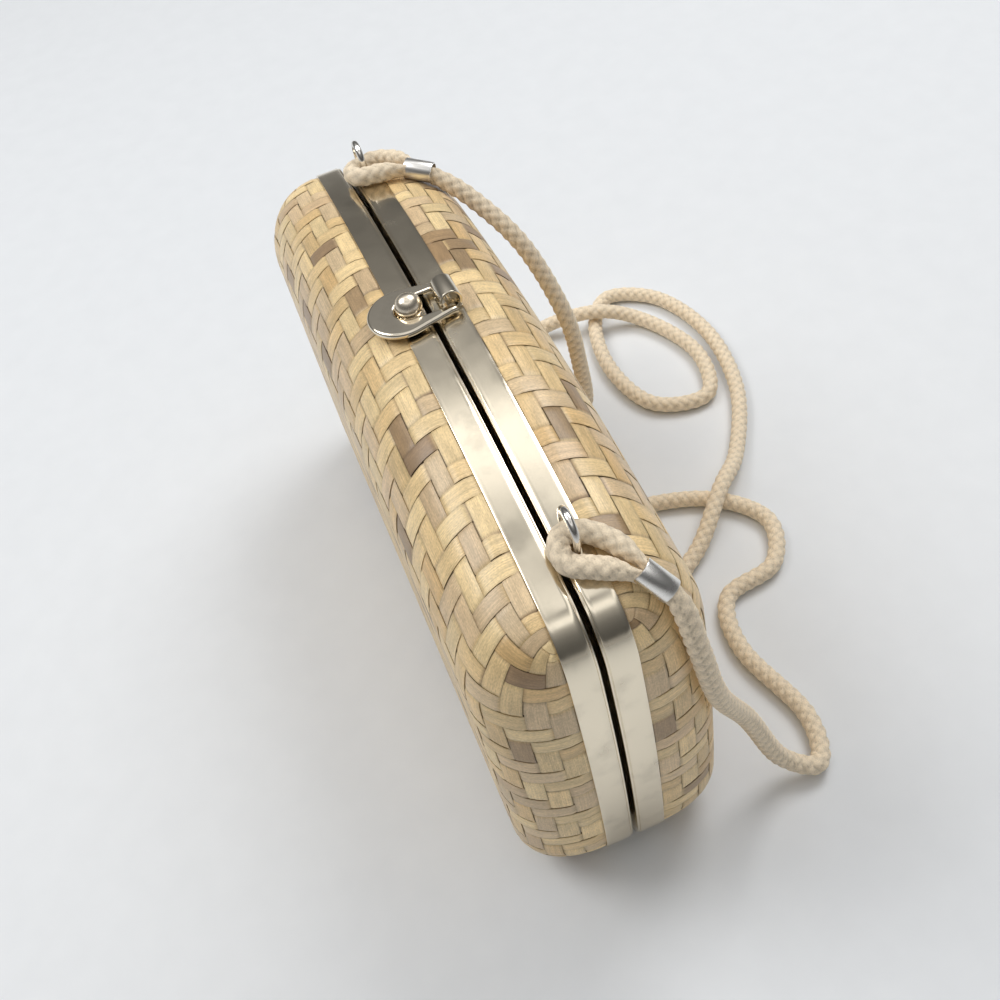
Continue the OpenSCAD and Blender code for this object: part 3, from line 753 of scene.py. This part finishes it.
# Clasp: tongue plate with pivot bar, curled bracket and ball stud
TIP_R = 8.6
TONGUE_REACH = 15
TAIL_W = 12.6
PLATE_T = 1.7
PLATE_EDGE = 0.72
CURL_EDGE = 0.16
CURL_R = 2.2
CURL_W = 7.6
CURL_T = 0.7
CURL_LIP_SHARE = 0.3
FIT = 0.05
SLACK = 0.3
BAR_R = PLATE_T / 2
CURL_Y = RIM_Y - CURL_T - CURL_R + SLACK
CURL_Z = BAG_H + CURL_T + CURL_R
PLATE_Z = BAG_H + CURL_T + FIT
BAR_Z = PLATE_Z + BAR_R
BALL_R = 3.4
BALL_RISE = 3.1
BALL_HOLE_R = 3.65
BALL_FOOT_A = -48
HOLE_LEDGE_A = 30
SHANK_R = 1.44
COLLAR_R = 2.2
COLLAR_FLARE = 0.04
TIP_STEPS = 72
HOLE_STEPS = 60
CURL_STEPS = 60
BAR_STEPS = 36
BALL_STEPS = 40
TURN_STEPS = 64
WINDOW_W = CURL_W + 2 * SLACK


def arc(centre, radius, start, stop, count):
    """Points of a circle between two angles in degrees."""
    return [tuple(p) for p in polar(centre, radius, np.linspace(start, stop, count))]


def rounded_solid(name, outlines, thick, bevel, place):
    """Flat solid with rounded edges from closed outlines in its own plane, holes among them."""
    data = bpy.data.curves.new(name, "CURVE")
    data.dimensions = "2D"
    data.fill_mode = "BOTH"
    data.extrude = (thick / 2 - bevel) * MM
    data.bevel_depth = bevel * MM
    data.bevel_resolution = 3
    data.offset = -bevel * MM
    for outline in outlines:
        spline = data.splines.new("POLY")
        spline.points.add(len(outline) - 1)
        for point, (x, y) in zip(spline.points, outline):
            point.co = (x * MM, y * MM, 0, 1)
        spline.use_cyclic_u = True
    draft = bpy.data.objects.new(name + "_draft", data)
    bpy.context.scene.collection.objects.link(draft)
    bpy.context.view_layer.update()
    mesh = bpy.data.meshes.new_from_object(draft.evaluated_get(bpy.context.evaluated_depsgraph_get()))
    bpy.data.objects.remove(draft)
    mesh.name = name
    mesh.transform(place)
    mesh.shade_smooth()
    mesh.set_sharp_from_angle(angle=math.radians(METAL_SHARP))
    obj = bpy.data.objects.new(name, mesh)
    bpy.context.scene.collection.objects.link(obj)
    return obj


def turned(name, profile, place, closed, sides=TURN_STEPS):
    """Solid of revolution about its own Z, from a closed profile or one that starts and ends on the axis."""
    theta = np.linspace(0, 2 * math.pi, sides, endpoint=False)
    p = np.array(profile, float)
    m = len(p)
    points = np.stack([
        np.cos(theta)[:, None] * p[None, :, 0],
        np.sin(theta)[:, None] * p[None, :, 0],
        np.broadcast_to(p[None, :, 1], (sides, m)),
    ], axis=-1)
    i, j = np.meshgrid(np.arange(sides), np.arange(m if closed else m - 1), indexing="ij")
    ni, nj = (i + 1) % sides, (j + 1) % m
    quads = np.stack([i * m + j, ni * m + j, ni * m + nj, i * m + nj], axis=-1).reshape(-1, 4)
    obj = piece(name, points.reshape(-1, 3), quads.tolist(), METAL_SHARP)
    cleaner = bmesh.new()
    cleaner.from_mesh(obj.data)
    bmesh.ops.remove_doubles(cleaner, verts=cleaner.verts, dist=FIT * MM / 100)
    cleaner.to_mesh(obj.data)
    cleaner.free()
    obj.data.transform(place)
    return obj


def at(x, y, z):
    return Matrix.Translation(Vector((x, y, z)) * MM)


def joined(obj, *others):
    with bpy.context.temp_override(active_object=obj, selected_editable_objects=[obj, *others]):
        bpy.ops.object.join()
    return obj


def tongue_outline():
    """Fork shape: round tip, two rails, and between them one opening for the ball and the curl."""
    tip = (0, TIP_R - TONGUE_REACH)
    tail = (TAIL_W / 2, CURL_Y - BAR_R)
    end = CURL_Y + BAR_R
    reach = math.hypot(tail[0] - tip[0], tail[1] - tip[1])
    touch = direction((tail[0] - tip[0], tail[1] - tip[1])) - math.degrees(math.acos(TIP_R / reach))
    inner = WINDOW_W / 2
    ledge = BALL_HOLE_R / 2 - STRIP_MID_Y
    hole = arc((0, -STRIP_MID_Y), BALL_HOLE_R, HOLE_LEDGE_A, -180 - HOLE_LEDGE_A, HOLE_STEPS)
    front = arc(tip, TIP_R, 180 - touch, 360 + touch, TIP_STEPS)
    return [(-tail[0], end), (-tail[0], tail[1]), *front, tail, (tail[0], end), (inner, end), (inner, ledge),
            *hole, (-inner, ledge), (-inner, end)]


def latch_plate():
    middle = at(0, 0, PLATE_Z + PLATE_T / 2)
    plate = rounded_solid("latch_tongue", [tongue_outline()], PLATE_T, PLATE_EDGE, middle)
    lying = at(0, CURL_Y, BAR_Z) @ Matrix.Rotation(math.radians(90), 4, "Y")
    round_bar = arc((0, 0), BAR_R, 0, 360 - 360 / BAR_STEPS, BAR_STEPS)
    bar = rounded_solid("latch_bar", [round_bar], WINDOW_W + SLACK, FIT, lying)
    return joined(plate, bar)


def bracket_outline():
    """Strap under the pivot bar and the curl over it, seen from the side about the curl's axis."""
    outer = CURL_R + CURL_T
    rear = RIM_Y - CURL_Y
    lip = CURL_LIP_SHARE * outer
    leave = -math.degrees(math.asin(CURL_R / outer))
    outer_stop = 180 + math.degrees(math.asin(lip / outer))
    inner_start = 180 + math.degrees(math.asin(lip / CURL_R))
    outside = arc((0, 0), outer, leave, outer_stop, CURL_STEPS)
    inside = arc((0, 0), CURL_R, inner_start, -90, CURL_STEPS)
    return [(-outer, -outer), (rear, -outer), (rear, -CURL_R), *outside, *inside, (-outer, -CURL_R)]


def latch_bracket():
    upright = Matrix(((0, 0, 1, 0), (1, 0, 0, CURL_Y * MM), (0, 1, 0, CURL_Z * MM), (0, 0, 0, 1)))
    return rounded_solid("latch_curl", [bracket_outline()], CURL_W, CURL_EDGE, upright)


def clasp_stud():
    turn = np.radians(np.linspace(BALL_FOOT_A, 90, BALL_STEPS))
    ball = [(BALL_R * math.cos(a), BALL_RISE + BALL_R * math.sin(a)) for a in turn[:-1]]
    shank = [(0, -STRIP_T), (SHANK_R, -STRIP_T), (SHANK_R, 0), (COLLAR_R, 0), (COLLAR_R + COLLAR_FLARE, FIT)]
    profile = [*shank, *ball, (0, BALL_RISE + BALL_R)]
    return turned("ball_stud", profile, at(0, -STRIP_MID_Y, BAG_H), False)


dress(latch_plate(), "latch", "fitting_metal", CLASP, "latch_plate")
dress(latch_bracket(), "rear", "fitting_metal", CLASP, "latch_bracket")
dress(clasp_stud(), "front", "fitting_metal", BALL, "clasp_stud")

# Strap eyes and crimped ferrules
EYE_X = 75.5
EYE_W = 8.2
EYE_H = 9.3
WIRE_D = 1.9
WIRE_SIDES = 24
WIRE_STEP = 0.4
ARCH_STEPS = 33
FERRULE_R = 2.9
FERRULE_L = 8.2
FERRULE_T = 0.4
LIP_R = 0.3
LIP_IN = 0.08
LIP_DOWN = 0.1


def on_top_strip(x, y):
    """Place on the arched top, upright to it."""
    a = math.asin(x / TOP_R)
    place = at(TOP_R * math.sin(a), y, TOP_C[1] + TOP_R * math.cos(a))
    return place @ Matrix.Rotation(a, 4, "Y")


def wire_eye(name, x):
    bend = EYE_H - EYE_W / 2
    arch = [(p[0], 0, p[1]) for p in arc((0, bend), EYE_W / 2, 0, 180, ARCH_STEPS)]
    path = np.array([(EYE_W / 2, 0, -STRIP_T), *arch, (-EYE_W / 2, 0, -STRIP_T)], float)
    path, _ = evenly(path, WIRE_STEP)
    _, side, up = carried_frames(path)
    points = path[:, None, :] + WIRE_D / 2 * ring_around(side, up, WIRE_SIDES)
    obj = piece(name, points.reshape(-1, 3), tube_faces(len(path), WIRE_SIDES))
    obj.data.transform(on_top_strip(x, STRIP_MID_Y))
    return obj


def ferrule(name, start, stop):
    start, stop = Vector(start), Vector(stop)
    half = FERRULE_L / 2
    bore = FERRULE_R - FERRULE_T
    shoulder = FERRULE_R - LIP_IN
    profile = [(bore, -half), (FERRULE_R - LIP_R, -half), (shoulder, -half + LIP_DOWN),
               (FERRULE_R, -half + LIP_R), (FERRULE_R, half - LIP_R), (shoulder, half - LIP_DOWN),
               (FERRULE_R - LIP_R, half), (bore, half)]
    middle = (start + stop) / 2
    place = at(*middle) @ (stop - start).to_track_quat("Z", "Y").to_matrix().to_4x4()
    return turned(name, profile, place, True)


dress(wire_eye("eye_wire_near", EYE_X), "rear", "fitting_metal", NICKEL, "strap_eye_near")
dress(wire_eye("eye_wire_far", -EYE_X), "rear", "fitting_metal", NICKEL, "strap_eye_far")
near_ferrule = ferrule("crimp_near", CORD_ROUTE[-1], CORD_ROUTE[-2])
far_ferrule = ferrule("crimp_far", CORD_ROUTE[0], CORD_ROUTE[1])
dress(near_ferrule, "rear", "fitting_metal", SLEEVE, "ferrule_near")
dress(far_ferrule, "rear", "fitting_metal", SLEEVE, "ferrule_far")

# Solids of the frame that stay in view take their finishes
FINISHES = {
    "front_board": BOARD_GAP_SHADE,
    "rear_board": BOARD_GAP_SHADE,
    "hinge_leaf_front": GILT,
    "hinge_leaf_rear": GILT,
    "hinge_pin": NICKEL,
}
for node, finish in FINISHES.items():
    nodes[node].data.materials.clear()
    nodes[node].data.materials.append(finish)


# Pale floor, soft light and surroundings
FLOOR_REACH = 40
FLOOR_DROP = 0.0002
FLOOR_PALE = (0.80, 0.82, 0.84)
FLOOR_GREY = (0.78, 0.80, 0.82)
BAG_MIDDLE = (0, 0, 0.07)
BOX_X = -0.35
BOX_Y = 0.6
BOX_Z = 0.95
BOX_SIZE = 0.6
BOX_POWER = 4.6
HAZE = 0.34
HAZE_FULL_Z = 0.09
HAZE_GONE_Z = 0.18
HAZE_GONE_X = -0.85
HAZE_FULL_X = -0.5
FAR_STRENGTH = 1.6
NEAR_STRENGTH = 1
SKY = [
    (0, 0.24), (0.045, 0.17), (0.1, 0.12), (0.25, 0.08), (0.45, 0.11), (0.62, 0.16), (0.74, 0.27),
    (0.8, 0.36), (0.835, 0.95), (0.9, 0.95), (0.935, 0.5), (0.965, 0.3), (0.985, 0.75), (1, 0.75),
]


def make_floor():
    r = FLOOR_REACH
    mesh = bpy.data.meshes.new("floor")
    corners = [(-r, -r, 0), (r, -r, 0), (r, r, 0), (-r, r, 0)]
    mesh.from_pydata(corners, [], [(0, 1, 2, 3)])
    floor = bpy.data.objects.new("floor", mesh)
    floor.location.z = -FLOOR_DROP
    bpy.context.scene.collection.objects.link(floor)
    mesh.materials.append(speckled_material("floor", FLOOR_PALE, FLOOR_GREY, (90, 90, 90), 0.7, 0.00002)[0])


def make_light(name, place):
    data = bpy.data.lights.new(name, "AREA")
    data.shape = "DISK"
    data.size = BOX_SIZE
    data.energy = BOX_POWER
    light = bpy.data.objects.new(name, data)
    light.location = place
    aim = Vector(BAG_MIDDLE) - Vector(place)
    light.rotation_mode = "QUATERNION"
    light.rotation_quaternion = aim.to_track_quat("-Z", "Y")
    bpy.context.scene.collection.objects.link(light)


def make_world():
    """Dark low surroundings beyond the bag's far end, a pale horizon elsewhere, brighter overhead."""
    world = bpy.data.worlds.new("studio")
    world.use_nodes = True
    tree = world.node_tree
    background = tree.nodes["Background"]
    coords = tree.nodes.new("ShaderNodeTexCoord")
    split = tree.nodes.new("ShaderNodeSeparateXYZ")
    sky = tree.nodes.new("ShaderNodeValToRGB")
    stops = sky.color_ramp.elements
    while len(stops) < len(SKY):
        stops.new(0.5)
    for stop, (place, level) in zip(stops, SKY):
        stop.position = place
        stop.color = (level, level, level, 1)
    tree.links.new(coords.outputs["Generated"], split.inputs["Vector"])
    tree.links.new(split.outputs["Z"], sky.inputs["Fac"])
    haze = tree.nodes.new("ShaderNodeMath")
    haze.operation = "MULTIPLY"
    low = mapped(world, split.outputs["Z"], HAZE_FULL_Z, HAZE_GONE_Z, 1, 0)
    aside = mapped(world, split.outputs["X"], HAZE_GONE_X, HAZE_FULL_X, 0, 1)
    strength = mapped(world, split.outputs["X"], -1, 1, FAR_STRENGTH, NEAR_STRENGTH)
    tree.links.new(low, haze.inputs[0])
    tree.links.new(aside, haze.inputs[1])
    blend = tree.nodes.new("ShaderNodeMix")
    blend.data_type = "RGBA"
    blend.inputs["B"].default_value = (HAZE, HAZE, HAZE, 1)
    tree.links.new(haze.outputs["Value"], blend.inputs["Factor"])
    tree.links.new(sky.outputs["Color"], blend.inputs["A"])
    tree.links.new(blend.outputs["Result"], background.inputs["Color"])
    tree.links.new(strength, background.inputs["Strength"])
    bpy.context.scene.world = world


make_floor()
make_light("left_box", (BOX_X, -BOX_Y, BOX_Z))
make_light("right_box", (BOX_X, BOX_Y, BOX_Z))
make_world()
bpy.context.scene.view_settings.view_transform = "Standard"
